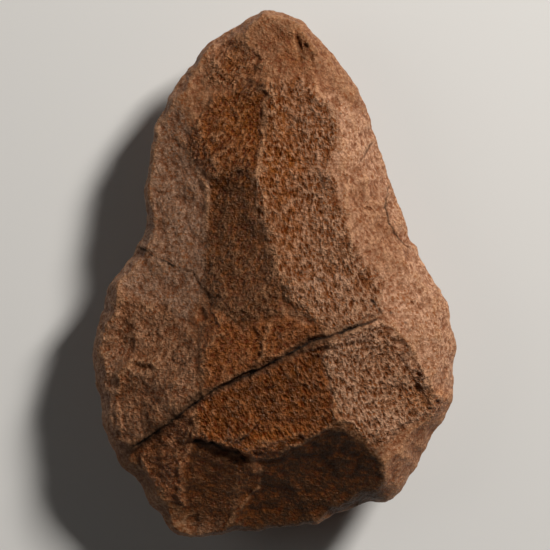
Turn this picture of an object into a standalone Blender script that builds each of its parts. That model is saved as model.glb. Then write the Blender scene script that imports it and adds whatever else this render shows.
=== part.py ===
"""Stone hand axe.

One pear-shaped block of brown stone, flaked on both faces to a worn edge all round. It lies on a small flat of its
back, with the tip toward +Y and the face with the large scars toward +Z.
"""

import math
import random

import bmesh
import bpy

# Sizes of the stone in metres
LENGTH = 0.176
WIDTH = 0.122
CROWN_HEIGHT = 0.029  # from the edge up to the highest point of the face
BELLY_DEPTH = 0.025  # from the edge down to the flat on the back

# The drawing
# The outline and the scars are drawn in millimetres on a stone of these sizes, and they stretch with the sizes above.
DRAWN_LENGTH = 176.0
DRAWN_WIDTH = 122.0
DRAWN_CROWN = 29.0
DRAWN_BELLY = 25.0

# The blank before its scars, in drawn millimetres
FACE_DOME = 36.0  # height of the uncut face
BACK_DOME = 32.0  # depth of the uncut back
DOME_REACH = 44.0  # distance from the edge at which the dome is level
SPINE_SHARE = 0.45  # how far up and down the middle line the spokes of the blank end, as a share of the edge
SPOKES = 208
RINGS = (0.0, 0.05, 0.11, 0.2, 0.34, 0.55)  # shares of the way from the edge to the middle line
TOP_RING = 0.8
EDGE_SWING = 1.1  # the edge runs this much above and below its plane
EDGE_WAVES = 5

# Small scars along the edge, in drawn millimetres
NOTCH = 0.55
RETOUCH_DEPTH = 1.1
RETOUCH_SHARE = 0.3
FEWEST_SPOKES = 3  # across an edge scar
MOST_SPOKES = 6
FACE_SEED = 4
BACK_SEED = 11

# The blocks that take the large scars off, in drawn millimetres
ROOF = 48.0
CUT_REACH = 78.0
FINE_REACH = 30.0  # the floor of a block is drawn finely this far from its middle
FINE_STEP = 6.0
COARSE_STEP = 16.0
LID = 1.0  # thickness of a block over the highest place of its floor
STEP_SLOPE = 1.7  # steepness of the wall where a scar stops short

STONE_COLOUR = (0.21, 0.105, 0.052, 1.0)
STONE_ROUGHNESS = 0.62

# Outline seen from above, clockwise from the tip, at the places where it turns
OUTLINE = (
    (-4.5, 88.0), (2.0, 87.7), (10.5, 83.3), (19.3, 72.7), (27.0, 63.0), (31.3, 54.0),
    (34.9, 41.0), (39.2, 29.0), (47.1, 8.0), (56.0, -7.0), (58.3, -14.5), (60.8, -25.0),
    (59.8, -31.0), (60.3, -36.7), (57.5, -46.5), (50.4, -58.0), (46.5, -66.3), (38.3, -76.2),
    (32.0, -76.0), (27.0, -78.5), (20.0, -80.2), (13.7, -83.7), (-3.3, -85.5), (-21.0, -87.9),
    (-32.0, -87.9), (-35.4, -86.0), (-38.3, -81.3), (-42.8, -77.5), (-44.5, -72.0), (-52.7, -63.3),
    (-57.0, -54.0), (-59.3, -42.5), (-61.0, -33.0), (-61.2, -21.5), (-58.2, -12.5), (-56.6, -4.0),
    (-47.0, 8.3), (-43.8, 18.5), (-44.3, 28.0), (-41.5, 42.5), (-39.9, 52.0), (-34.5, 62.2),
    (-28.5, 69.5), (-24.0, 76.3), (-11.7, 84.3),
)


def clear_scene():
    for thing in list(bpy.data.objects):
        bpy.data.objects.remove(thing, do_unlink=True)


def stone_material():
    material = bpy.data.materials.new("stone")
    material.use_nodes = True
    surface = material.node_tree.nodes["Principled BSDF"]
    surface.inputs["Base Color"].default_value = STONE_COLOUR
    surface.inputs["Roughness"].default_value = STONE_ROUGHNESS
    surface.inputs["Metallic"].default_value = 0.0
    return material


def in_metres(x, y, z):
    """A place of the drawing on the real stone. Heights above the edge follow the crown and depths the belly."""
    if z > 0:
        height = z * CROWN_HEIGHT / DRAWN_CROWN
    else:
        height = z * BELLY_DEPTH / DRAWN_BELLY
    return (x * WIDTH / DRAWN_WIDTH, y * LENGTH / DRAWN_LENGTH, height)


def curve_point(before, start, end, after, share):
    """A place on the smooth curve from start to end, which leads on from before and toward after."""
    bend = 2 * before - 5 * start + 4 * end - after
    twist = 3 * start - before - 3 * end + after
    return 0.5 * (2 * start + (end - before) * share + bend * share**2 + twist * share**3)


def smooth_outline():
    """The outline as SPOKES places, evenly spaced along the edge."""
    fine = []
    count = len(OUTLINE)
    pieces = 16
    for index in range(count):
        corners = [OUTLINE[(index + shift) % count] for shift in (-1, 0, 1, 2)]
        for piece in range(pieces):
            share = piece / pieces
            fine.append(tuple(curve_point(*[corner[axis] for corner in corners], share) for axis in (0, 1)))
    fine.append(fine[0])
    lengths = [0.0]
    for start, end in zip(fine, fine[1:]):
        lengths.append(lengths[-1] + math.dist(start, end))
    places = []
    index = 0
    for spoke in range(SPOKES):
        wanted = lengths[-1] * spoke / SPOKES
        while lengths[index + 1] < wanted:
            index += 1
        share = (wanted - lengths[index]) / (lengths[index + 1] - lengths[index])
        places.append(tuple(a + (b - a) * share for a, b in zip(fine[index], fine[index + 1])))
    return places


def edge_scars(seed):
    """For each spoke how deep it lies in a small edge scar: 0 on the ridge between two scars, 1 in the middle."""
    chance = random.Random(seed)
    depths = []
    while len(depths) < SPOKES:
        width = chance.randint(FEWEST_SPOKES, MOST_SPOKES)
        strength = chance.uniform(0.35, 1.0)
        for step in range(width):
            across = 2 * step / width - 1
            depths.append(strength * (1 - across * across))
    return depths[:SPOKES]


def dome_height(distance, dome):
    share = min(distance / DOME_REACH, 1.0)
    return dome * (1 - (1 - share) ** 2)


def blank_mesh():
    """The pear-shaped block: rings of points from the edge inward, on the face and on the back."""
    outline = smooth_outline()
    face_edge = edge_scars(FACE_SEED)
    back_edge = edge_scars(BACK_SEED)
    shape = bmesh.new()

    def ring(share, side, dome, scars):
        points = []
        for spoke, (x, y) in enumerate(outline):
            foot_y = y * SPINE_SHARE
            reach = math.hypot(x, y - foot_y)
            notch = NOTCH * (face_edge[spoke] + back_edge[spoke]) * (1 - share) / reach
            inward = share + notch
            swing = EDGE_SWING * math.sin(2 * math.pi * EDGE_WAVES * spoke / SPOKES) * (1 - share)
            near = min(share / RETOUCH_SHARE, 1.0)
            retouch = 4 * RETOUCH_DEPTH * scars[spoke] * near * (1 - near)
            height = dome if share == TOP_RING else dome_height(share * reach, dome) - retouch
            place = in_metres(x * (1 - inward), y + (foot_y - y) * inward, side * height)
            points.append(shape.verts.new((place[0], place[1], place[2] + in_metres(0, 0, swing)[2])))
        return points

    def band(outer, inner):
        for spoke in range(SPOKES):
            after = (spoke + 1) % SPOKES
            shape.faces.new((outer[spoke], outer[after], inner[after], inner[spoke]))

    edge = ring(0.0, 1, FACE_DOME, face_edge)
    for side, dome, scars in ((1, FACE_DOME, face_edge), (-1, BACK_DOME, back_edge)):
        outer = edge
        for share in RINGS[1:] + (TOP_RING,):
            inner = ring(share, side, dome, scars)
            band(outer, inner)
            outer = inner
        level = sum(point.co.z for point in outer) / SPOKES
        for point in outer:
            point.co.z = level
        shape.faces.new(outer)
    return finished_mesh(shape, "blank")


def finished_mesh(shape, name):
    bmesh.ops.triangulate(shape, faces=shape.faces)
    bmesh.ops.recalc_face_normals(shape, faces=shape.faces)
    mesh = bpy.data.meshes.new(name)
    shape.to_mesh(mesh)
    shape.free()
    return mesh


def scar_lines(last):
    """Grid lines from -CUT_REACH to last, close together near the middle of the scar."""
    fine_end = min(FINE_REACH, last)
    coarse = round((CUT_REACH - FINE_REACH) / COARSE_STEP)
    fine = math.ceil((fine_end + FINE_REACH) / FINE_STEP)
    lines = [-CUT_REACH + (CUT_REACH - FINE_REACH) * index / coarse for index in range(coarse)]
    lines += [-FINE_REACH + (fine_end + FINE_REACH) * index / fine for index in range(fine + 1)]
    if last > FINE_REACH:
        lines += [FINE_REACH + (last - FINE_REACH) * (index + 1) / coarse for index in range(coarse)]
    return lines


class Scar:
    """A flake scar as a shallow bowl.

    The middle of its floor is at place and height. The floor rises by rise for each millimetre in x and y, and
    bends up by hollow at half the length and at half the width. Heading is the way that the flake ran, in degrees
    from +X. A scar with a reach stops there in a wall with the given slope. The foot of the wall lies back by bow
    at half the width: it is an arc, or two straight sides where the scar is pointed.
    """

    def __init__(
        self,
        place,
        height,
        rise,
        hollow,
        length,
        width,
        heading=0.0,
        reach=None,
        bow=0.0,
        pointed=False,
        slope=STEP_SLOPE,
    ):
        self.place = place
        self.height = height
        self.rise = rise
        self.hollow = hollow
        self.half_length = length / 2
        self.half_width = width / 2
        self.along = (math.cos(math.radians(heading)), math.sin(math.radians(heading)))
        self.reach = reach
        self.bow = bow
        self.bend = 1 if pointed else 2
        self.slope = slope

    def setback(self, across):
        return self.bow * (abs(across) / self.half_width) ** self.bend

    def point(self, run, across):
        dx = run * self.along[0] - across * self.along[1]
        dy = run * self.along[1] + across * self.along[0]
        bowl = (run / self.half_length) ** 2 + (across / self.half_width) ** 2
        height = self.height + self.rise[0] * dx + self.rise[1] * dy + self.hollow * bowl
        return self.place[0] + dx, self.place[1] + dy, height

    def rows(self):
        """Rows of floor points from one side of the scar to the other."""
        rows = []
        for across in scar_lines(CUT_REACH):
            if self.reach is None:
                rows.append([self.point(run, across) for run in scar_lines(CUT_REACH)])
                continue
            setback = self.setback(across)
            row = [self.point(run - setback, across) for run in scar_lines(self.reach)]
            x, y, height = row[-1]
            wall = max(ROOF - LID - height, LID) / self.slope
            row.append((x + wall * self.along[0], y + wall * self.along[1], ROOF - LID))
            rows.append(row)
        return rows


def scar_cutter(name, scar, side):
    """The block of waste above a scar on the face, or below one on the back."""
    shape = bmesh.new()
    floor = [
        [shape.verts.new(in_metres(x, y, side * min(z, ROOF - LID))) for x, y, z in row]
        for row in scar.rows()
    ]
    for near, far in zip(floor, floor[1:]):
        for column in range(len(near) - 1):
            shape.faces.new((near[column], near[column + 1], far[column + 1], far[column]))
    rim = floor[0] + [row[-1] for row in floor[1:-1]] + floor[-1][::-1] + [row[0] for row in floor[-2:0:-1]]
    roof = [shape.verts.new((point.co.x, point.co.y, in_metres(0, 0, side * ROOF)[2])) for point in rim]
    for index in range(len(rim)):
        after = (index + 1) % len(rim)
        shape.faces.new((rim[index], rim[after], roof[after], roof[index]))
    shape.faces.new(roof)
    return bpy.data.objects.new(name, finished_mesh(shape, name))


def add_cutter(stone, cutter):
    bpy.context.scene.collection.objects.link(cutter)
    cutter.location = stone.location
    cutter.hide_render = True
    cutter.display_type = "WIRE"
    cut = stone.modifiers.new(cutter.name, "BOOLEAN")
    cut.operation = "DIFFERENCE"
    cut.solver = "EXACT"
    cut.object = cutter


def face_scars():
    """The scars of the face, from the tip down. Some stop short in a step."""
    return {
        "tip_end": Scar((-1, 76), 6.4, (0.0, -0.35), 0.6, 20, 24, -90),
        "tip_left": Scar((-15, 70), 5.0, (0.30, -0.25), 1.2, 24, 22, -40, 12.5, 2),
        "tip_right": Scar((20, 68), 5.4, (-0.45, -0.28), 0.6, 24, 24, 200),
        "tip_chip": Scar((6.5, 77), 5.2, (-0.15, -0.32), 0.9, 13, 5, -78),
        "tip_side_chip": Scar((12, 71), 7.3, (-0.32, -0.26), 0.9, 14, 6, -76),
        "upper_left": Scar((-15, 47), 11.6, (0.27, -0.29), 1.2, 32, 26, 60, 16.5, 3),
        "left_flank": Scar((-32, 22), 8.6, (0.50, -0.12), 0.9, 24, 70, 0),
        "centre_left": Scar((-12, 8), 18.4, (0.38, -0.18), 2.0, 44, 24, -80),
        "right_centre": Scar((12, 15), 19.5, (-0.17, -0.25), 1.2, 70, 32, -75),
        "right_flank": Scar((36, 5), 13.2, (-0.62, -0.27), 0.7, 24, 70, 203),
        "right_edge_chip": Scar((42, 18), 3.8, (-0.50, -0.18), 1.3, 13, 19, 195),
        "right_pock": Scar((29, -3), 19.2, (-0.45, -0.20), 1.0, 11, 8, -60),
        "right_shoulder": Scar((48, -22), 13.2, (-0.64, 0.0), 0.7, 28, 44, 180),
        "left_shoulder": Scar((-53, -19), 5.4, (0.42, 0.02), 1.3, 16, 22, 0, 6.5, 2.5),
        "left_step": Scar((-42, -22), 11.0, (0.46, -0.05), 0.9, 20, 22, -80, 9.5, 2.5),
        "left_bulge": Scar((-43, -38), 12.2, (0.52, 0.06), 0.6, 36, 36, 10),
        "middle": Scar((-5, -24), 24.6, (0.18, -0.04), 0.5, 40, 24, 25),
        "bright_facet": Scar((29, -36), 18.8, (-0.60, 0.04), 0.8, 44, 48, 68, 16.5, 17, True, 0.65),
        "below_step": Scar((-2, -42), 21.6, (0.08, 0.20), 0.8, 32, 52, 115, 10.8, 2.5, slope=1.2),
        "low_left": Scar((-38, -60), 10.6, (0.40, 0.31), 0.7, 28, 32, 129, 6.5, 1),
        "low_right": Scar((43, -60), 10.6, (-0.60, 0.30), 0.8, 32, 32, 145),
        "base_hollow": Scar((14, -67), 10.2, (0.0, 0.61), 3.0, 36, 56, 90),
        "base_floor": Scar((1, -79), 3.2, (0.02, 0.48), 1.4, 20, 26, 90),
        "base_left": Scar((-17, -68), 10.0, (0.12, 0.55), 1.0, 28, 28, 73, 9, 1),
        "base_chip": Scar((-27, -84), 1.3, (0.05, 0.45), 1.0, 8, 8, 80),
    }


def back_scars():
    """The scars of the back, fewer and plainer. Heights are depths below the edge."""
    return {
        "back_tip_left": Scar((-13, 66), 6.0, (0.26, -0.26), 0.8, 30, 30, -50),
        "back_tip_right": Scar((13, 66), 6.2, (-0.30, -0.27), 0.8, 30, 30, 230),
        "back_upper": Scar((2, 36), 15.5, (0.05, -0.27), 1.2, 50, 34, -90),
        "back_left_flank": Scar((-30, 22), 11.2, (0.50, -0.14), 1.0, 28, 60, 0),
        "back_right_flank": Scar((33, 14), 11.4, (-0.52, -0.16), 1.0, 28, 60, 195),
        "back_left_shoulder": Scar((-45, -22), 11.0, (0.54, 0.0), 1.0, 30, 50, 0),
        "back_right_shoulder": Scar((47, -22), 10.4, (-0.55, 0.02), 1.0, 30, 50, 180),
        "back_low_left": Scar((-38, -58), 10.4, (0.42, 0.36), 1.0, 34, 36, 40),
        "back_low_right": Scar((36, -58), 10.4, (-0.40, 0.38), 1.2, 34, 36, 135),
        "back_base": Scar((-2, -68), 10.8, (0.03, 0.50), 2.2, 36, 44, 90),
        "back_middle": Scar((-8, 0), 22.6, (0.07, -0.06), 0.9, 30, 26, -60, 14, 3),
        "back_lower": Scar((8, -46), 22.2, (-0.04, 0.15), 0.9, 28, 40, 100),
    }


def flat_cutter():
    """The block of waste below the flat that the stone rests on."""
    shape = bmesh.new()
    bmesh.ops.create_cube(shape, size=1.0)
    for point in shape.verts:
        depth = -DRAWN_BELLY if point.co.z > 0 else -ROOF
        point.co = in_metres(point.co.x * 2 * CUT_REACH, point.co.y * 2 * CUT_REACH, depth)
    return bpy.data.objects.new("rest_flat", finished_mesh(shape, "rest_flat"))


def centre_of_outline(mesh):
    """The middle of the blank's bounding box, seen from above."""
    wide = [point.co.x for point in mesh.vertices]
    long = [point.co.y for point in mesh.vertices]
    return (min(wide) + max(wide)) / 2, (min(long) + max(long)) / 2


def make_stone():
    mesh = blank_mesh()
    mesh.materials.append(stone_material())
    stone = bpy.data.objects.new("hand_axe", mesh)
    bpy.context.scene.collection.objects.link(stone)
    middle_x, middle_y = centre_of_outline(mesh)
    stone.location = (-middle_x, -middle_y, BELLY_DEPTH)
    for name, scar in face_scars().items():
        add_cutter(stone, scar_cutter(name, scar, 1))
    for name, scar in back_scars().items():
        add_cutter(stone, scar_cutter(name, scar, -1))
    add_cutter(stone, flat_cutter())


clear_scene()
make_stone()
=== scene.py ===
"""Stone hand axe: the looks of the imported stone, with a floor, soft light and a camera as in the photo."""

import math

import bpy
import numpy as np
from mathutils import Euler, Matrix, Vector


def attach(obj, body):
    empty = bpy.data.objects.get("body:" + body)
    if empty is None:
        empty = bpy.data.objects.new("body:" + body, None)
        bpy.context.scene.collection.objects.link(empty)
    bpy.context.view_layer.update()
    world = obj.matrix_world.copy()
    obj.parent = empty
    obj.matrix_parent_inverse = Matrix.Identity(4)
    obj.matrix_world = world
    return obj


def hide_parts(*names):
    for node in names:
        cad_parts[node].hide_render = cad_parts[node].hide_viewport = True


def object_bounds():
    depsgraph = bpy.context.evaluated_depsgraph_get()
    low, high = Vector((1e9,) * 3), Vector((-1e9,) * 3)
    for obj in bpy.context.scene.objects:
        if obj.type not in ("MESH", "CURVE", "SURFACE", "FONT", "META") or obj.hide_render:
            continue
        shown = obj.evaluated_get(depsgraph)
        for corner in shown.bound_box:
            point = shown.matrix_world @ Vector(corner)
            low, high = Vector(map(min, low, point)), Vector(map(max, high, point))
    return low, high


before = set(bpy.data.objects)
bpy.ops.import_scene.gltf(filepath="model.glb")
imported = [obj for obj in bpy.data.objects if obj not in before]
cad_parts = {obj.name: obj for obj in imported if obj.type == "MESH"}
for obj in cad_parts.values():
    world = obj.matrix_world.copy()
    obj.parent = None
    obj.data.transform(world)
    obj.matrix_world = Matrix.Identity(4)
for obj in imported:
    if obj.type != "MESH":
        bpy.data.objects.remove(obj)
cad_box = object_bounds()

# The stone
# One block of fine brown quartzite. Large flakes were struck off it toward a thin edge all round, and the
# scars show the torn grain of the stone. The ridges and the old outer faces are rubbed smooth and pale.
MM = 0.001
WELD = 0.002 * MM
CELL = 0.46 * MM  # facets that the fine relief is pressed into
MOST_TRIANGLES = 196000
FIELD_CELLS = 256  # random numbers along each side of a random field
EDGE_HEIGHT = 25.0  # of the thin edge over the floor, in millimetres
SQUARES = 3  # squares of the drawing sheet to a millimetre
SHEET_MIDDLE = (275, 274)
WANDER = 1.1  # how far drawn lines stray in long waves, in millimetres
LONG_WAVE = 5.0
NIBBLE = 0.5  # and in short ones
SHORT_WAVE = 1.7
CRACK_WANDER = 0.3  # the same for thin cracks
CRACK_WAVE = 1.3

bpy.ops.object.select_all(action="DESELECT")
stone = bpy.data.objects.new("stone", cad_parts["hand_axe"].data.copy())
bpy.context.scene.collection.objects.link(stone)
stone.select_set(True)
bpy.context.view_layer.objects.active = stone
bpy.ops.object.mode_set(mode="EDIT")
bpy.ops.mesh.select_all(action="SELECT")
bpy.ops.mesh.remove_doubles(threshold=WELD)
bpy.ops.object.mode_set(mode="OBJECT")


def apply_modifier(kind, **settings):
    modifier = stone.modifiers.new(kind.title(), kind)
    for name, value in settings.items():
        setattr(modifier, name, value)
    bpy.ops.object.modifier_apply(modifier=modifier.name)


def soft_step(value, low, high):
    """0 up to the low value, 1 from the high value on, and a smooth rise between them."""
    share = np.clip((value - low) / (high - low), 0.0, 1.0)
    return share * share * (3 - 2 * share)


def fade_ends(along, share):
    """1 along a line and 0 at its two ends, over a share of its length."""
    return soft_step(along, 0.0, share) * (1 - soft_step(along, 1 - share, 1.0))


def random_field(plan, size, seed):
    """Smooth random numbers from -1 to 1 over the plan, with lumps of one size in millimetres."""
    grid = np.random.default_rng(seed).uniform(-1, 1, (FIELD_CELLS, FIELD_CELLS))
    place = plan / size + FIELD_CELLS // 2
    corner = np.floor(place).astype(int)
    share = place - corner
    share = share * share * (3 - 2 * share)
    column, row = corner[:, 0], corner[:, 1]
    upper = grid[column, row + 1] * (1 - share[:, 0]) + grid[column + 1, row + 1] * share[:, 0]
    lower = grid[column, row] * (1 - share[:, 0]) + grid[column + 1, row] * share[:, 0]
    return lower * (1 - share[:, 1]) + upper * share[:, 1]


class Surface:
    """The points of the stone as they are now, in millimetres, with drawn shapes laid over them."""

    def __init__(self):
        count = len(stone.data.vertices)
        places = np.empty(count * 3, np.float32)
        stone.data.vertices.foreach_get("co", places)
        normals = np.empty(count * 3, np.float32)
        stone.data.vertex_normals.foreach_get("vector", normals)
        self.points = places.reshape(-1, 3).astype(float) / MM
        self.normals = normals.reshape(-1, 3).astype(float)
        self.above_edge = self.points[:, 2] - EDGE_HEIGHT
        self.face = soft_step(self.above_edge, -1.5, 0.5)
        plan = self.points[:, :2]
        self.true_plan = plan
        long_waves = np.stack([random_field(plan, LONG_WAVE, seed) for seed in (1, 2)], 1)
        short_waves = np.stack([random_field(plan, SHORT_WAVE, seed) for seed in (10, 11)], 1)
        crack_waves = np.stack([random_field(plan, CRACK_WAVE, seed) for seed in (3, 4)], 1)
        self.ragged_plan = plan + WANDER * long_waves + NIBBLE * short_waves
        self.crack_plan = plan + CRACK_WANDER * crack_waves
        self.patchy = 0.75 + 0.45 * random_field(plan, 1.8, 5)

    def write(self):
        stone.data.vertices.foreach_set("co", (self.points * MM).astype(np.float32).ravel())
        stone.data.update()

    def line(self, spots, ragged=True):
        """How far each point is from a drawn line, its side of it, and its place along it from 0 to 1."""
        plan = self.ragged_plan if ragged else self.crack_plan
        corners = sheet(spots)
        steps = corners[1:] - corners[:-1]
        lengths = np.hypot(steps[:, 0], steps[:, 1])
        starts = np.concatenate([[0], np.cumsum(lengths)[:-1]])
        gap = np.full(len(plan), 1e9)
        side = np.zeros(len(plan))
        along = np.zeros(len(plan))
        for corner, step, length, start in zip(corners, steps, lengths, starts):
            offset = plan - corner
            share = np.clip(offset @ step / length**2, 0, 1)
            new_gap = np.hypot(*(offset - share[:, None] * step).T)
            nearer = new_gap < gap
            gap = np.where(nearer, new_gap, gap)
            side = np.where(nearer, np.sign(step[0] * offset[:, 1] - step[1] * offset[:, 0]), side)
            along = np.where(nearer, (start + share * length) / lengths.sum(), along)
        return gap, side, along

    def region(self, spots, soft=1.2):
        """1 inside a drawn outline and 0 outside it."""
        ring = list(spots) + [spots[0]]
        gap, _, _ = self.line(ring)
        inside = np.zeros(len(self.ragged_plan), bool)
        x, y = self.ragged_plan.T
        corners = sheet(ring)
        for (first_x, first_y), (next_x, next_y) in zip(corners, corners[1:]):
            crosses = (first_y > y) != (next_y > y)
            rise = next_y - first_y if next_y != first_y else 1.0
            inside ^= crosses & (x < (next_x - first_x) * (y - first_y) / rise + first_x)
        return soft_step(np.where(inside, gap, -gap), -soft, soft) * self.face

    def oval(self, x, y, wide, tall, turn=0.0, soft=0.5):
        """1 inside an oval and 0 outside it, its middle on the sheet and its size in millimetres."""
        offset = self.ragged_plan - sheet([(x, y)])[0]
        angle = math.radians(turn)
        along = offset[:, 0] * math.cos(angle) + offset[:, 1] * math.sin(angle)
        across = offset[:, 1] * math.cos(angle) - offset[:, 0] * math.sin(angle)
        far = np.hypot(along / (wide / 2), across / (tall / 2))
        return (1 - soft_step(far, 1 - soft, 1 + soft)) * self.face


def sheet(spots):
    """Places on the sheet, in squares from its top left corner, as millimetres from its middle."""
    middle_x, middle_y = SHEET_MIDDLE
    return np.array([((x - middle_x) / SQUARES, (middle_y - y) / SQUARES) for x, y in spots])


UPPER_SCAR = [
    (268, 84), (240, 86), (215, 100), (195, 125), (188, 150), (203, 168), (215, 190), (255, 190),
    (264, 140),
]
DARK_SCAR = [
    (255, 190), (215, 178), (210, 205), (206, 240), (205, 288), (218, 308), (243, 328), (285, 316),
    (284, 290), (278, 265), (262, 230),
]
BAND = [
    (205, 318), (216, 308), (243, 328), (285, 316), (325, 325), (300, 342), (262, 364), (203, 392),
    (203, 345),
]
LOW_SCAR = [
    (198, 404), (262, 370), (330, 336), (322, 355), (334, 395), (338, 420), (322, 427), (290, 443),
    (258, 455), (235, 446), (215, 441), (195, 437),
]
BRIGHT_FACET = [
    (330, 338), (383, 319), (395, 345), (402, 357), (422, 362), (430, 385), (447, 400), (443, 412),
    (405, 425), (385, 440), (365, 438), (345, 420), (334, 395), (322, 355),
]
RIGHT_SCAR = [
    (270, 84), (300, 78), (318, 92), (335, 112), (338, 140), (330, 170), (340, 200), (352, 240),
    (372, 268), (383, 312), (350, 326), (325, 325), (300, 308), (284, 290), (280, 270), (264, 235),
    (256, 190), (264, 150),
]
BASE_SCAR = [
    (262, 455), (290, 443), (322, 427), (345, 420), (365, 440), (378, 447), (383, 485), (392, 500),
    (350, 510), (315, 524), (240, 536), (222, 532), (240, 510), (262, 484),
]
BASE_LEFT = [
    (195, 438), (215, 441), (250, 455), (262, 484), (240, 510), (222, 534), (200, 538), (193, 510),
    (186, 480),
]
LEFT_FACETS = [(140, 450), (160, 432), (198, 404), (194, 440), (187, 470), (188, 505), (150, 485)]
CORNER_BAND = [
    (118, 463), (142, 452), (150, 482), (185, 505), (207, 513), (205, 540), (170, 540), (140, 496),
]
TIP_SCAR = [(205, 60), (215, 42), (240, 36), (258, 50), (252, 78), (235, 90), (212, 88)]
TIP_END = [(205, 95), (215, 42), (240, 20), (290, 18), (305, 40), (318, 80), (300, 92), (250, 95)]
TIP_CHIPS = [(291, 33), (308, 33), (316, 50), (317, 80), (305, 62), (296, 52)]
LEFT_BULGE = [
    (120, 285), (150, 300), (190, 320), (203, 350), (200, 395), (150, 434), (118, 450), (100, 400),
    (97, 330),
]
LEFT_FLANK = [
    (175, 90), (200, 150), (212, 190), (206, 285), (190, 320), (150, 300), (120, 285), (140, 180),
    (150, 120),
]
RIGHT_FLANK = [
    (318, 92), (370, 115), (400, 195), (450, 300), (460, 380), (447, 400), (430, 385), (402, 357),
    (383, 319), (372, 268), (352, 240), (340, 200), (330, 170), (338, 140),
]

MAIN_GROOVE = [
    (120, 463), (135, 445), (150, 436), (175, 418), (197, 401), (215, 388), (240, 377), (262, 366),
    (285, 354), (310, 340), (330, 334), (350, 327), (383, 317),
]
LOW_STEP = [(193, 437), (215, 441), (235, 447), (252, 456)]
LEDGE_STRIP = [(322, 340), (350, 332), (382, 322), (384, 330), (352, 341), (326, 350)]
EDGE_CRESCENT = [(390, 183), (385, 205), (388, 220), (395, 235), (405, 245), (416, 253)]
RING_CRACK = [(183 + 9 * math.cos(turn), 355 - 9 * math.sin(turn)) for turn in np.linspace(0.4, 6.2, 12)]
FACET_BORDER = [(383, 317), (396, 338), (405, 353), (420, 359), (430, 366), (436, 388), (450, 399)]
THIN = 1.0  # cracks up to this width run straighter than wider grooves
GROOVES = [  # line, width, depth, share of dirt and painted shade
    (MAIN_GROOVE, 0.9, 0.4, 0.85),
    (MAIN_GROOVE[7:], 1.0, 0.5, 0.9),
    (MAIN_GROOVE, 3.6, 0.2, 0.45),
    ([(136, 247), (147, 250), (155, 257), (168, 262), (180, 268)], 0.7, 0.3, 0.8),
    ([(180, 268), (195, 272), (203, 288), (212, 298), (222, 298), (232, 312)], 0.7, 0.3, 0.6),
    ([(165, 235), (145, 265)], 0.6, 0.12, 0.3),
    (LOW_STEP, 1.3, 0.5, 0.7),
    ([(374, 142), (368, 149), (364, 157), (358, 164)], 0.6, 0.2, 0.5),
    (EDGE_CRESCENT, 0.6, 0.3, 0.6),
    ([(369, 298), (375, 305), (381, 313)], 0.8, 0.5, 0.8),
    (RING_CRACK, 0.7, 0.3, 0.4),
    ([(183, 364), (177, 376)], 0.6, 0.3, 0.3),
    ([(226, 178), (236, 176), (249, 175)], 1.4, 0.6, 0.5),
    ([(320, 172), (322, 182), (324, 191)], 1.0, 0.5, 0.6),
    ([(292, 116), (302, 125), (309, 128)], 1.6, 0.5, 0.4),
    ([(286, 294), (289, 284), (297, 279), (291, 271)], 1.3, 0.3, 0.2),
    ([(231, 441), (241, 439), (250, 430), (260, 420)], 0.6, 0.2, 0.5),
    ([(244, 85), (254, 87), (267, 91)], 2.6, 0.8, 0.4),
    ([(297, 38), (300, 50), (307, 64)], 1.8, 0.6, 0.3),
    ([(307, 40), (309, 52), (313, 68)], 1.4, 0.5, 0.3),
    ([(316, 279), (324, 280)], 0.8, 0.4, 0.6),
    ([(216, 258), (222, 268)], 0.9, 0.4, 0.5),
    ([(216, 280), (224, 284)], 0.7, 0.4, 0.7),
]
LEDGES = [  # line, drop on its right-hand side, width of the drop, softness of its edge
    (MAIN_GROOVE[:11], 0.7, 7.0, 0.5),
    (LOW_STEP, 1.1, 6.0, 0.3),
    (EDGE_CRESCENT[::-1], 0.6, 5.0, 0.3),
    ([(262, 60), (255, 68), (253, 76), (244, 83)], 0.9, 6.0, 1.5),
    ([(166, 369), (150, 366), (132, 362), (127, 370), (128, 385), (116, 402)], -0.9, 7.0, 1.2),
    ([(127, 300), (134, 330), (137, 360)], 1.0, 8.0, 2.2),
    ([(262, 418), (250, 431), (241, 439), (229, 441)], -0.6, 7.0, 0.3),
    ([(268, 84), (269, 100), (266, 120), (263, 135), (264, 150), (260, 165), (256, 190)], 0.5, 8.0, 3.0),
    ([(206, 290), (207, 260), (209, 230), (212, 200), (217, 180)], 0.5, 6.0, 1.3),
]
BASE_ARRIS = [(258, 456), (270, 455), (290, 443), (310, 435), (322, 427), (345, 420), (358, 430), (366, 441)]
CRESTS = [  # line, height, width
    ([(268, 84), (269, 100), (266, 120), (263, 135), (264, 150), (260, 165), (256, 190)], 0.6, 3.6),
    ([(256, 190), (259, 215), (266, 235), (273, 255), (281, 272), (285, 291)], 0.2, 3.0),
    ([(285, 291), (300, 308), (315, 318), (326, 325)], 0.25, 3.0),
    ([(322, 355), (330, 375), (334, 395), (337, 415), (347, 424)], 0.45, 2.2),
    (BASE_ARRIS, 0.5, 2.4),
    ([(264, 482), (250, 498), (240, 511), (224, 532)], 0.5, 2.2),
    ([(198, 404), (197, 420), (194, 438)], 0.5, 2.4),
    ([(197, 405), (190, 430), (173, 456)], 0.4, 2.2),
    ([(178, 130), (195, 165), (206, 190), (208, 230)], 0.35, 4.0),
    ([(205, 320), (203, 345), (207, 360), (200, 386)], 0.2, 3.0),
    ([(272, 318), (262, 345), (257, 366)], 0.5, 3.6),
    ([(208, 346), (215, 338), (226, 330)], 0.4, 1.8),
    ([(213, 305), (217, 316), (222, 327)], 0.4, 2.0),
    ([(291, 33), (296, 50), (305, 61), (315, 78)], 0.5, 2.0),
    ([(310, 38), (313, 52), (315, 75)], 0.45, 1.8),
    ([(205, 162), (215, 163)], 0.4, 1.8),
    ([(117, 404), (126, 386), (127, 369), (134, 361), (150, 364), (167, 370)], 0.2, 3.0),
    ([(289, 300), (287, 290), (292, 282), (300, 282), (305, 290)], 0.45, 2.2),
]
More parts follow.
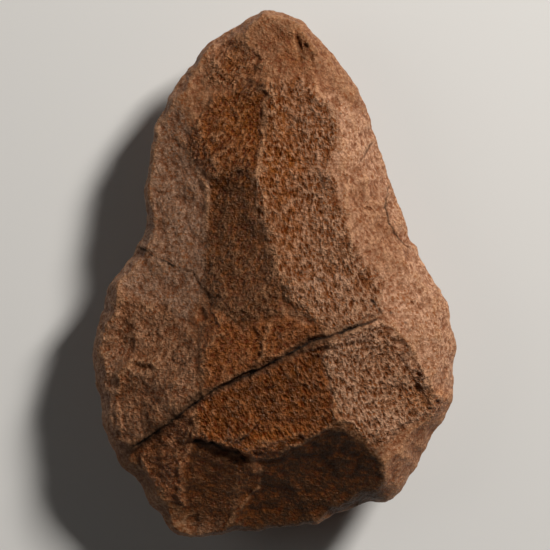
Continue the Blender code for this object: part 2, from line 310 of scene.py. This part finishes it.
MOUNDS = [  # middle on the sheet, width, length, turn, height
    (156, 413, 7.0, 3.0, -80, 0.6),
    (268, 70, 7.0, 4.5, -10, 0.5),
    (296, 292, 6.5, 7.5, 20, 0.5),
    (265, 340, 5.0, 13.0, 10, 0.7),
    (121, 418, 11.0, 2.2, -85, 0.5),
    (185, 470, 8.0, 3.0, -75, 0.6),
    (184, 490, 6.0, 4.0, 60, 0.5),
    (148, 465, 10.0, 1.8, -84, 0.5),
    (344, 180, 1.6, 2.4, 0, -0.7),
    (412, 304, 1.3, 1.3, 0, -0.5),
    (203, 315, 3.4, 3.0, 0, -0.6),
    (302, 45, 4.5, 6.5, 10, -0.5),
    (361, 285, 7.0, 8.0, 0, -0.7),
    (333, 107, 3.0, 4.0, 0, -0.6),
    (366, 212, 2.5, 2.0, 0, -0.5),
    (376, 404, 11.0, 3.4, 5, -0.6),
    (230, 58, 9.0, 10.0, 30, -0.7),
    (193, 525, 6.0, 5.0, 20, -0.9),
    (262, 88, 5.0, 3.0, -10, -0.5),
    (232, 119, 4.0, 2.0, -20, -0.5),
    (225, 350, 9.0, 9.0, 0, -0.4),
]
SWELLS = [  # the same for broad soft forms
    (353, 340, 22.0, 5.0, 15, 1.6),
    (404, 374, 24.0, 7.5, -57, 1.7),
    (150, 330, 12.0, 26.0, 0, -0.8),
    (170, 400, 16.0, 14.0, 0, 0.6),
    (310, 120, 12.0, 18.0, 0, 0.6),
    (334, 200, 11.0, 36.0, 12, 0.8),
    (285, 215, 8.0, 30.0, 14, -0.5),
]
LEDGE_ENDS = 0.15  # share of a ledge over which it fades out
LINE_ENDS = 0.1  # the same for grooves and crests
MOUND_SOFT = 0.35
SWELL_SOFT = 0.9

apply_modifier("REMESH", mode="VOXEL", voxel_size=CELL)
apply_modifier("SMOOTH", factor=0.5, iterations=3)
surface = Surface()
relief = np.zeros(len(surface.points))
for line, drop, width, softness in LEDGES:
    gap, side, along = surface.line(line)
    lower_side = soft_step(-side * gap, -softness, softness)
    relief -= drop * (1 - soft_step(gap, 0.0, width)) * lower_side * fade_ends(along, LEDGE_ENDS)
for line, width, depth, _ in GROOVES:
    gap, _, along = surface.line(line, width > THIN)
    hollow = 1 - soft_step(gap, 0.1 * width, 0.7 * width)
    relief -= depth * hollow * fade_ends(along, LINE_ENDS) * surface.patchy
for line, height, width in CRESTS:
    gap, _, along = surface.line(line)
    ridge = 1 - soft_step(gap, 0.0, 0.5 * width)
    relief += height * ridge * fade_ends(along, LINE_ENDS) * surface.patchy
surface.points += surface.normals * (relief * surface.face)[:, None]
for x, y, wide, tall, turn, height in MOUNDS:
    surface.points[:, 2] += height * surface.oval(x, y, wide, tall, turn, MOUND_SOFT)
for x, y, wide, tall, turn, height in SWELLS:
    surface.points[:, 2] += height * surface.oval(x, y, wide, tall, turn, SWELL_SOFT)
surface.write()


RUBBED_FACE = 0.12  # how coarse the old faces, the underside and the rim are
UNDERSIDE = 0.45
RIM = 0.2
ROUGH_ZONES = (
    (RIGHT_SCAR, 1.0),
    (BRIGHT_FACET, 0.8),
    (LOW_SCAR, 0.9),
    (LEFT_BULGE, 0.3),
    (BAND, 0.55),
    (DARK_SCAR, 0.45),
    (UPPER_SCAR, 0.75),
    (BASE_SCAR, 0.2),
    (BASE_LEFT, 0.3),
    (LEFT_FACETS, 0.6),
    (TIP_SCAR, 0.8),
    (TIP_END, 0.4),
    (TIP_CHIPS, 0.5),
)
STREAKS = {  # the way that the grain of the stone runs in degrees from the right, and where it shows
    "right streaks": (96, ((RIGHT_SCAR, 1.0), (RIGHT_FLANK, 0.3))),
    "upper streaks": (52, ((UPPER_SCAR, 1.0), (DARK_SCAR, 0.7), (TIP_SCAR, 0.8))),
    "low streaks": (-66, ((LOW_SCAR, 1.0), (BRIGHT_FACET, 1.0), (BASE_SCAR, 0.15))),
    "left streaks": (
        42,
        ((LEFT_BULGE, 0.5), (LEFT_FACETS, 0.6), (BAND, 0.7), (LEFT_FLANK, 0.25), (BASE_LEFT, 0.3)),
    ),
}


def zone_share(surface, zones, soft):
    """The largest share of the zones that each point lies in."""
    return np.maximum.reduce([share * surface.region(zone, soft) for zone, share in zones])


def grain_share(surface, zones, soft):
    """Where the torn grain shows: over its zones, in patches that are stronger and weaker."""
    plan = surface.true_plan
    patches = random_field(plan, 5.0, 31) + 0.6 * random_field(plan, 2.2, 32)
    return zone_share(surface, zones, soft) * (0.45 + 0.85 * soft_step(patches, -0.7, 0.8))


def rough_share(surface):
    """How coarse the broken stone is, from 0 on the rubbed old faces to 1 in the fresh looking scars."""
    rough = np.maximum(zone_share(surface, ROUGH_ZONES, 2.0), RUBBED_FACE)
    rough = np.maximum(rough, 0.5 * surface.region(RIGHT_SCAR, 9.0))
    off_rim = soft_step(np.abs(surface.above_edge), 0.8, 5.0)
    return np.where(surface.above_edge < 0, UNDERSIDE, rough) * (RIM + (1 - RIM) * off_rim)


def make_zone(name, weights):
    """Saves weights for each point, which the presses read, rounded to WEIGHT_STEPS."""
    group = stone.vertex_groups.new(name=name)
    steps = np.round(np.clip(weights, 0, 1) * WEIGHT_STEPS).astype(int)
    for step in range(1, WEIGHT_STEPS + 1):
        group.add(np.nonzero(steps == step)[0].tolist(), step / WEIGHT_STEPS, "REPLACE")


WEIGHT_STEPS = 20
make_zone("all over", np.ones(len(surface.points)))
make_zone("rough parts", rough_share(surface))
for name, (_, zones) in STREAKS.items():
    make_zone(name, grain_share(surface, zones, 3.0))


def press(
    name, kind, size, depth, zone, stretch=1.0, heading=0.0, middle=0.5, direction="NORMAL", **settings
):
    """Presses one kind of lump into one zone. Streaks are lumps stretched along their heading."""
    texture = bpy.data.textures.new(name, kind)
    texture.noise_scale = size * MM
    for setting, value in settings.items():
        setattr(texture, setting, value)
    guide = bpy.data.objects.new(name + " guide", None)
    bpy.context.scene.collection.objects.link(guide)
    guide.rotation_euler = Euler((0, 0, math.radians(heading)))
    guide.scale = (stretch, 1, 1)
    bpy.context.view_layer.update()
    apply_modifier(
        "DISPLACE",
        texture=texture,
        texture_coords="OBJECT",
        texture_coords_object=guide,
        strength=depth * MM,
        mid_level=middle,
        vertex_group=zone,
        direction=direction,
    )
    bpy.data.objects.remove(guide)
    bpy.data.textures.remove(texture)


WARP = {"direction": "RGB_TO_XYZ", "cloud_type": "COLOR"}
press("wander", "CLOUDS", 9, 1.5, "all over", noise_depth=1, **WARP)
press("ragged", "CLOUDS", 2.6, 0.6, "all over", noise_depth=2, **WARP)
press("swells", "CLOUDS", 15, 0.8, "all over", noise_depth=1)
press("hollows", "CLOUDS", 4, 0.9, "rough parts", noise_depth=1)
for name, (heading, _) in STREAKS.items():
    press(name, "CLOUDS", 1.6, 0.7, name, 1.7, heading, noise_depth=1)
press("right scoops", "VORONOI", 3.0, 1.1, "right streaks", 1.4, 112)
press("low scoops", "VORONOI", 2.4, 0.55, "low streaks", 1.4, -66)
FRACTAL = {"musgrave_type": "FBM", "dimension_max": 0.4, "octaves": 2}
press("crumbs", "MUSGRAVE", 2.6, 0.12, "rough parts", middle=0.0, **FRACTAL)

surface = Surface()
low, high = (np.array(corner) / MM for corner in cad_box)
found_low, found_high = surface.points.min(0), surface.points.max(0)
surface.points = low + (surface.points - found_low) * (high - low) / (found_high - found_low)
surface.write()
triangles = sum(len(face.vertices) - 2 for face in stone.data.polygons)
stone.vertex_groups.clear()
apply_modifier("DECIMATE", ratio=MOST_TRIANGLES / triangles)
surface = Surface()
surface.points = np.clip(surface.points, low, high)
surface.write()


def stand_out(surface, rounds):
    """How far each point stands out of its surroundings, in millimetres, smoothed by some rounds."""
    edges = np.empty(len(stone.data.edges) * 2, np.int32)
    stone.data.edges.foreach_get("vertices", edges)
    first, last = edges.reshape(-1, 2).T
    count = len(surface.points)
    neighbours = np.bincount(edges, minlength=count).astype(float)
    smooth = surface.points.copy()
    heights = []
    for turn in range(1, max(rounds) + 1):
        total = [np.bincount(first, smooth[last, axis], count) for axis in range(3)]
        total = [part + np.bincount(last, smooth[first, axis], count) for axis, part in enumerate(total)]
        smooth = np.stack(total, 1) / neighbours[:, None]
        if turn in rounds:
            heights.append(((surface.points - smooth) * surface.normals).sum(1))
    return heights


FINE_ROUNDS = 4
BROAD_ROUNDS = 60
fine_height, broad_height = stand_out(surface, (FINE_ROUNDS, BROAD_ROUNDS))


def keep_on_surface(name, values):
    """Saves a value for each point, which the material reads."""
    kept = stone.data.attributes.new(name, "FLOAT", "POINT")
    kept.data.foreach_set("value", values.astype(np.float32))


TAN = (0.205, 0.091, 0.042)
ROSE = (0.345, 0.178, 0.102)
TAUPE = (0.280, 0.158, 0.098)
PALE = (0.400, 0.215, 0.125)
OCHRE = (0.185, 0.047, 0.007)
ORANGE = (0.300, 0.088, 0.012)
UMBER = (0.048, 0.014, 0.0015)
EARTH_AND_SHADE = (0.024, 0.0065, 0.0)
WORN = (0.300, 0.140, 0.062)
OLIVE = (0.105, 0.055, 0.016)

count = len(surface.points)
patina = np.tile(TAN, (count, 1))
blotch = 0.5 + 0.5 * random_field(surface.true_plan, 7.0, 21)
mottle = 0.5 + 0.5 * random_field(surface.true_plan, 3.0, 22)
level = surface.above_edge


def paint(colour, mask, share=1.0, uneven=0.3):
    """Lays a colour over the patina, thinner in blotches."""
    thin = 2 * (1 - 0.6 * blotch - 0.4 * mottle)
    cover = np.clip(mask * share * (1 - uneven * thin), 0, 1)
    patina[:] += (np.array(colour) - patina) * cover[:, None]


whole = np.ones(count)
paint(OCHRE, whole * (1 - surface.face), 0.5, 0.9)
paint(OCHRE, whole, 0.25, 0.9)
paint(TAUPE, surface.region(LEFT_FLANK, 1.5), 1.0, 0.15)
paint(TAUPE, surface.region(LEFT_BULGE, 3.0), 0.45, 0.6)
paint(ROSE, surface.region(RIGHT_FLANK, 2.0), 1.0, 0.08)
paint(ROSE, surface.region(RIGHT_SCAR, 5.0), 1.0, 0.4)
paint(PALE, surface.region(RIGHT_SCAR, 2.0), 0.5, 1.0)
paint(ROSE, surface.oval(348, 278, 24, 26), 0.4, 0.5)
paint(OCHRE, surface.oval(361, 285, 7, 8), 0.5, 0.3)
paint(PALE, surface.oval(295, 100, 26, 22, 20, 0.8), 0.4, 0.8)
paint(OCHRE, surface.oval(300, 150, 18, 60, -5, 0.7), 0.6, 0.5)
paint(OCHRE, surface.oval(278, 150, 12, 50, 3, 0.8), 0.7, 0.4)
paint(ORANGE, surface.oval(281, 140, 13, 34, 5, 0.7), 0.6, 0.5)
paint(ORANGE, surface.oval(280, 225, 12, 34, 12, 0.7), 0.6, 0.5)
paint(OCHRE, surface.oval(372, 226, 15, 32, 22, 0.8), 0.35, 0.3)
paint(TAN, surface.oval(372, 226, 15, 32, 22, 0.8), 1.0, 0.3)
paint(PALE, surface.oval(107, 360, 8, 42, 0, 0.8), 0.45, 0.4)
paint(UMBER, surface.oval(163, 142, 9, 12, 0, 0.8), 0.5, 1.0)
paint(ROSE, surface.oval(405, 465, 22, 32, 20), 0.55, 0.5)
paint(PALE, surface.region(BRIGHT_FACET, 0.8), 1.0, 0.4)
# Painted shade on the bright facet just below its raised border, where the border wall shades it.
gap, side, _ = surface.line(FACET_BORDER)
painted_border_shade = (1 - soft_step(gap, 1.0, 7.0)) * (side < 0)
paint(OCHRE, painted_border_shade * surface.region(BRIGHT_FACET, 2.0), 0.3, 0.1)
paint(ORANGE, surface.oval(427, 400, 18, 8, 10), 0.65)
paint(OCHRE, surface.oval(235, 55, 26, 22, 20), 0.45, 0.6)
paint(ORANGE, surface.oval(275, 45, 24, 30), 0.5, 0.8)
paint(PALE, surface.oval(200, 65, 8, 30, -45, 0.8), 0.4, 0.5)
paint(OCHRE, surface.oval(303, 55, 7, 18, 10, 0.7), 0.5, 0.5)
paint(ORANGE, surface.oval(240, 70, 30, 24), 0.4, 0.9)
paint(ROSE, surface.region(LEDGE_STRIP, 1.0), 0.7, 0.3)
paint(OCHRE, surface.region(UPPER_SCAR, 1.0), 0.9, 0.25)
paint(UMBER, surface.region(UPPER_SCAR, 1.0), 0.45, 0.5)
paint(ORANGE, surface.oval(245, 118, 14, 24, 20), 0.5, 0.5)
paint(UMBER, surface.oval(250, 105, 12, 16, 20), 0.45)
paint(UMBER, surface.oval(238, 176, 12, 4), 0.5)
paint(UMBER, surface.region(DARK_SCAR, 0.9), 0.78, 0.15)
paint(UMBER, surface.oval(236, 225, 14, 30, 0, 0.8), 0.7, 0.2)
paint(TAN, surface.oval(262, 290, 10, 24, 20, 0.8), 0.35, 0.6)
paint(OCHRE, surface.region(BAND, 1.0), 0.95, 0.2)
paint(UMBER, surface.region(BAND, 1.0), 0.4, 0.5)
paint(ORANGE, surface.oval(245, 352, 14, 8, 25), 0.5, 0.6)
paint(OCHRE, surface.region(LOW_SCAR, 0.7), 0.95, 0.2)
paint(UMBER, surface.oval(310, 380, 14, 26, 10, 0.7), 0.35, 0.4)
paint(UMBER, surface.oval(262, 388, 34, 12, 27, 0.7), 0.5, 0.4)
paint(ORANGE, surface.oval(262, 415, 30, 10, 20, 0.8), 0.35, 0.9)
paint(ORANGE, surface.oval(275, 436, 26, 6, 15), 0.6, 0.4)
paint(UMBER, surface.oval(372, 444, 12, 9, -40, 0.7), 0.8, 0.3)
paint(OCHRE, surface.region(LEFT_FACETS, 1.0), 0.85, 0.3)
paint(OLIVE, surface.region(CORNER_BAND, 1.2), 0.7, 0.4)
paint(OCHRE, surface.region(BASE_LEFT, 1.0), 0.6, 0.4)
paint(UMBER, surface.region(BASE_LEFT, 0.8), 0.95, 0.15)
# The base scar gets a dark brown patina, made darker still as painted shade.
paint(EARTH_AND_SHADE, surface.region(BASE_SCAR, 0.6), 0.96, 0.1)
near_edge = (1 - soft_step(level, 1.5, 5.0)) * surface.face
paint(TAUPE, near_edge * (1 - surface.region(BASE_SCAR, 4.0)), 0.5, 0.4)
worn_edge = np.zeros(count)
for line, _, width in CRESTS:
    gap, _, along = surface.line(line)
    rubbed = (1 - soft_step(gap, 0.1, 0.45 * width)) * fade_ends(along, LINE_ENDS)
    worn_edge = np.maximum(worn_edge, rubbed * surface.face)
paint(WORN, worn_edge, 0.9, 0.5)
# Painted shade in the small hollows of the surface; the ochre after it is the oxide that lies in them.
paint(UMBER, soft_step(-fine_height, 0.0, 0.12), 0.5, 0.0)
paint(OCHRE, soft_step(-fine_height, 0.0, 0.06), 0.35, 0.0)
DARK_ZONES = ((BASE_SCAR, 1.0), (DARK_SCAR, 0.6), (BASE_LEFT, 0.6), (LOW_SCAR, 0.4), (BAND, 0.4))
dark_parts = zone_share(surface, DARK_ZONES, 1.0)
# Paler on the small raised bits: partly rubbed wear, partly painted highlight, kept out of the dark zones; on
# the right scar and the bright facet the raised bits get a pale painted highlight.
paint(WORN, soft_step(fine_height, 0.01, 0.12) * (1 - dark_parts), 0.4, 0.0)
paint(PALE, soft_step(fine_height, 0.0, 0.10) * surface.region(RIGHT_SCAR, 2.0), 0.45, 0.3)
paint(PALE, soft_step(fine_height, 0.0, 0.10) * surface.region(BRIGHT_FACET, 1.0), 0.5, 0.3)
paint(ORANGE, soft_step(-fine_height, 0.0, 0.10) * surface.region(RIGHT_SCAR, 3.0), 0.35, 0.8)
paint(WORN, soft_step(broad_height, 0.25, 0.9) * (1 - 0.6 * dark_parts), 0.45, 0.2)
# Darkening along the grooves and cracks: dirt in them and painted shade, with a wider faint painted shade
# beside the main groove.
dirt_and_groove_shade = np.zeros(count)
for line, width, _, share in GROOVES:
    gap, _, along = surface.line(line, width > THIN)
    darkened = 1 - soft_step(gap, 0.15 * width, 0.75 * width)
    darkened *= share * fade_ends(along, LINE_ENDS) * surface.face
    dirt_and_groove_shade = np.maximum(dirt_and_groove_shade, np.clip(darkened * (0.4 + surface.patchy), 0, 1))
keep_on_surface("dirt_and_groove_shade", dirt_and_groove_shade)
keep_on_surface("rough", rough_share(surface))
for name, (_, zones) in STREAKS.items():
    keep_on_surface(name, grain_share(surface, zones, 2.0))
colours = np.hstack([patina, np.ones((count, 1))]).astype(np.float32)
patina_values = stone.data.attributes.new("patina", "FLOAT_COLOR", "POINT")
patina_values.data.foreach_set("color", colours.ravel())
bpy.ops.object.shade_smooth()


def new_material(name):
    material = bpy.data.materials.new(name)
    material.use_nodes = True
    return material, material.node_tree


class Nodes:
    """Short ways to lay the nodes of one material or node group."""

    def __init__(self, tree):
        self.tree = tree

    def add(self, kind, **inputs):
        node = self.tree.nodes.new(kind)
        for name, value in inputs.items():
            self.feed(node.inputs[name.replace("_", " ")], value)
        return node

    def feed(self, socket, value):
        if isinstance(value, bpy.types.NodeSocket):
            self.tree.links.new(value, socket)
        else:
            socket.default_value = value

    def place(self):
        return self.add("ShaderNodeTexCoord").outputs["Object"]

    def attribute(self, name):
        node = self.add("ShaderNodeAttribute")
        node.attribute_name = name
        return node.outputs["Color" if name == "patina" else "Fac"]

    def noise(self, scale, detail=4.0, roughness=0.55):
        node = self.add("ShaderNodeTexNoise", Scale=scale, Detail=detail, Roughness=roughness)
        self.feed(node.inputs["Vector"], self.place())
        return node.outputs["Fac"]

    def maths(self, operation, *values):
        node = self.add("ShaderNodeMath")
        node.operation = operation
        for socket, value in zip(node.inputs, values):
            self.feed(socket, value)
        return node.outputs["Value"]

    def vector(self, operation, *values):
        node = self.add("ShaderNodeVectorMath")
        node.operation = operation
        for socket, value in zip(node.inputs, values):
            self.feed(socket, value)
        return node.outputs["Value" if operation == "DOT_PRODUCT" else "Vector"]

    def spread(self, value, low, high, low_out=0.0, high_out=1.0):
        node = self.add("ShaderNodeMapRange", Value=value, From_Min=low, From_Max=high)
        self.feed(node.inputs["To Min"], low_out)
        self.feed(node.inputs["To Max"], high_out)
        return node.outputs["Result"]

    def tint(self, under, over, share, blend="MIX"):
        node = self.add("ShaderNodeMix")
        node.data_type = "RGBA"
        node.blend_type = blend
        for socket, value in zip((node.inputs[0], node.inputs[6], node.inputs[7]), (share, under, over)):
            self.feed(socket, value)
        return node.outputs[2]

    def group(self, tree, **inputs):
        node = self.tree.nodes.new("ShaderNodeGroup")
        node.node_tree = tree
        for name, value in inputs.items():
            self.feed(node.inputs[name.replace("_", " ")], value)
        return node.outputs


def new_group(name, inputs, outputs):
    tree = bpy.data.node_groups.new(name, "ShaderNodeTree")
    for title, value in inputs.items():
        socket = tree.interface.new_socket(title, in_out="INPUT", socket_type="NodeSocketFloat")
        socket.default_value = value
    for title in outputs:
        tree.interface.new_socket(title, in_out="OUTPUT", socket_type="NodeSocketFloat")
    return Nodes(tree), tree.nodes.new("NodeGroupInput").outputs, tree.nodes.new("NodeGroupOutput").inputs


# Sand grains broken across: each is a small flat face, tilted its own way, lighter or darker than others.
grain, given, result = new_group(
    "broken_grain", {"Grains per metre": 1000.0, "Tilt": 1.0, "Scoop": 0.3}, ["Height", "Shade"]
)
place = grain.place()
cells = grain.add("ShaderNodeTexVoronoi", Vector=place, Scale=given["Grains per metre"], Randomness=1.0)
tilt = grain.vector("SUBTRACT", cells.outputs["Color"], (0.5, 0.5, 0.5))
from_middle = grain.vector("SUBTRACT", place, cells.outputs["Position"])
height = grain.vector("DOT_PRODUCT", from_middle, tilt)
scoop = grain.maths("DIVIDE", cells.outputs["Distance"], given["Grains per metre"])
scoop = grain.maths("MULTIPLY", scoop, given["Scoop"])
grain.feed(result["Height"], grain.maths("MULTIPLY_ADD", height, given["Tilt"], scoop))
own_shade = grain.add("ShaderNodeSeparateXYZ", Vector=cells.outputs["Color"]).outputs["X"]
grain.feed(result["Shade"], own_shade)
broken_grain = grain.tree

# The grain of the stone torn out in long hollow scales that all run one way.
streak, given, result = new_group(
    "streaks", {"Streaks per metre": 1000.0, "Stretch": 3.0, "Heading": 0.0, "Slope": 1.0}, ["Height", "Shade"]
)
turn_back = streak.maths("MULTIPLY", given["Heading"], -1.0)
turned = streak.add("ShaderNodeVectorRotate", Vector=streak.place(), Angle=turn_back)
shrink = streak.add("ShaderNodeCombineXYZ", X=streak.maths("DIVIDE", 1.0, given["Stretch"]), Y=1.0, Z=1.0)
drawn_out = streak.vector("MULTIPLY", turned.outputs["Vector"], shrink.outputs["Vector"])
torn = streak.add(
    "ShaderNodeTexNoise",
    Vector=drawn_out,
    Scale=given["Streaks per metre"],
    Detail=3.0,
    Roughness=0.6,
    Distortion=0.5,
)
fibre = streak.maths("SUBTRACT", torn.outputs["Fac"], 0.5)
scales_per_metre = streak.maths("MULTIPLY", given["Streaks per metre"], 0.65)
scales = streak.add("ShaderNodeTexVoronoi", Vector=drawn_out, Scale=scales_per_metre)
relief = streak.maths("MULTIPLY_ADD", fibre, 1.4, scales.outputs["Distance"])
steep_relief = streak.maths("MULTIPLY", relief, given["Slope"])
streak.feed(result["Height"], streak.maths("DIVIDE", steep_relief, given["Streaks per metre"]))
# Shade is the height of the scales, which the material paints as glints on the high parts and as shade in the
# hollows.
streak.feed(result["Shade"], streak.maths("SUBTRACT", relief, 0.4))
streaks = streak.tree

# Small dark mineral flecks, and pin holes painted as dark spots of shade.
fleck, given, result = new_group("flecks", {"Flecks per metre": 600.0, "Share": 0.1}, ["Mask"])
spots = fleck.noise(given["Flecks per metre"], 2.0, 0.6)
edge = fleck.maths("SUBTRACT", 0.72, given["Share"])
fleck.feed(result["Mask"], fleck.spread(spots, edge, fleck.maths("ADD", edge, 0.07)))
flecks = fleck.tree

# Near black for the dark flecks, and for the dirt and painted shade in the grooves.
FLECK_AND_SHADE_BLACK = (0.010, 0.006, 0.004, 1)
# Painted light on the grain: SHADED tints the low grains and the hollows of the scales as painted shade, LIT
# tints the high grains as painted glints.
SHADED = (0.78, 0.46, 0.22, 1)
SHADED_FROM, SHADED_TO = 1.3, 0.7
LIT = (1.65, 1.74, 1.88, 1)
LIT_FROM, LIT_TO = 1.35, 1.95

material, tree = new_material("stone")
n = Nodes(tree)
shader = tree.nodes["Principled BSDF"]
small = n.group(broken_grain, Grains_per_metre=1700.0, Tilt=0.9, Scoop=0.5)
large = n.group(broken_grain, Grains_per_metre=800.0, Tilt=0.5, Scoop=0.5)
pits = n.group(flecks, Flecks_per_metre=520.0, Share=0.05)
mottled = n.noise(1000, 4, 0.7)
rough = n.attribute("rough")
streak_height = 0.0
streak_shade = 0.0
for name, (heading, _) in STREAKS.items():
    run = n.group(streaks, Streaks_per_metre=1350.0, Stretch=1.9, Slope=1.1, Heading=math.radians(heading))
    streak_height = n.maths("MULTIPLY_ADD", run["Height"], n.attribute(name), streak_height)
    streak_shade = n.maths("MULTIPLY_ADD", run["Shade"], n.attribute(name), streak_shade)

# The shade value mixes the random tone of the grains with the height of the streak scales; high values get the
# painted glint tint and low values the painted shade tint.
shade = n.maths("MULTIPLY_ADD", large["Shade"], 0.6, small["Shade"])
shade = n.maths("MULTIPLY_ADD", mottled, 1.1, shade)
shade = n.maths("MULTIPLY_ADD", streak_shade, 3.2, shade)
colour = n.tint(n.attribute("patina"), LIT, n.spread(shade, LIT_FROM, LIT_TO), "MULTIPLY")
colour = n.tint(colour, SHADED, n.spread(shade, SHADED_FROM, SHADED_TO), "MULTIPLY")
# Dark flecks and painted pin holes, then the dirt and painted shade of the grooves.
colour = n.tint(colour, FLECK_AND_SHADE_BLACK, n.maths("MULTIPLY", pits["Mask"], 0.6))
colour = n.tint(colour, FLECK_AND_SHADE_BLACK, n.attribute("dirt_and_groove_shade"))
n.feed(shader.inputs["Base Color"], colour)
dull = n.spread(rough, 0.1, 0.9, 0.5, 0.18)
dull = n.maths("MULTIPLY_ADD", n.attribute("dirt_and_groove_shade"), 0.5, dull)
n.feed(shader.inputs["Roughness"], n.maths("ADD", dull, n.spread(mottled, 0.3, 0.7, -0.05, 0.08)))
shader.inputs["Specular IOR Level"].default_value = 0.3
shader.inputs["Specular Tint"].default_value = (1.0, 0.78, 0.60, 1)

height = n.maths("ADD", small["Height"], large["Height"])
height = n.maths("MULTIPLY_ADD", mottled, 0.7 * MM, height)
height = n.maths("ADD", streak_height, height)
bump = n.add("ShaderNodeBump", Strength=1.0, Distance=1.0)
n.feed(bump.inputs["Height"], n.maths("MULTIPLY", height, n.spread(rough, 0.0, 1.0, 0.25, 1.6)))
n.feed(shader.inputs["Normal"], bump.outputs["Normal"])

stone.data.materials.clear()
stone.data.materials.append(material)
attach(stone, "root")
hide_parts("hand_axe")

# The floor
# A plain pale studio table top of matt painted board. It only carries the stone for the picture, and
# isn't part of the object.
FLOOR_WIDTH = 6.0
bpy.ops.mesh.primitive_plane_add(size=FLOOR_WIDTH, location=(0, 0, 0))
floor = bpy.context.object
floor.name = "floor"
floor_material, tree = new_material("floor")
floor_shader = tree.nodes["Principled BSDF"]
floor_shader.inputs["Base Color"].default_value = (0.72, 0.71, 0.69, 1)
floor_shader.inputs["Roughness"].default_value = 0.9
floor.data.materials.append(floor_material)

# The light
# One soft box from the upper right of the picture, a weak one from the left, and a dim room. The low
# angle of the strong one brings out the scars.
ROOM_LIGHT = 0.02


def soft_box(name, direction, distance, size, watts, colour):
    light = bpy.data.lights.new(name, "AREA")
    light.size = size
    light.energy = watts
    light.color = colour
    lamp = bpy.data.objects.new(name, light)
    bpy.context.scene.collection.objects.link(lamp)
    lamp.location = Vector(direction).normalized() * distance
    lamp.rotation_euler = (-lamp.location).to_track_quat("-Z", "Y").to_euler()


soft_box("key", (0.62, 0.62, 0.72), 1.4, 0.30, 24.0, (1.0, 0.97, 0.93))
soft_box("fill", (-0.9, 0.1, 0.8), 1.6, 0.8, 1.6, (1.0, 0.96, 0.92))
world = bpy.data.worlds.new("room")
world.use_nodes = True
background = world.node_tree.nodes["Background"]
background.inputs["Color"].default_value = (1.0, 0.97, 0.94, 1)
background.inputs["Strength"].default_value = ROOM_LIGHT
bpy.context.scene.world = world

# The camera
# It looks straight down with the tip at the top of the picture, from far off, so that the outline isn't
# stretched. The picture is as wide as the drawing sheet.
LENS = 200.0
SHEET_SQUARES = 550
PICTURE_WIDTH = SHEET_SQUARES / SQUARES * MM
PICTURE_MIDDLE = (0.2 * MM, -0.35 * MM)
camera_data = bpy.data.cameras.new("camera")
camera_data.lens = LENS
camera_data.clip_start = 0.05
camera = bpy.data.objects.new("camera", camera_data)
bpy.context.scene.collection.objects.link(camera)
distance = PICTURE_WIDTH * LENS / camera_data.sensor_width
camera.location = (*PICTURE_MIDDLE, EDGE_HEIGHT * MM + distance)
bpy.context.scene.camera = camera
bpy.context.scene.view_settings.view_transform = "Standard"
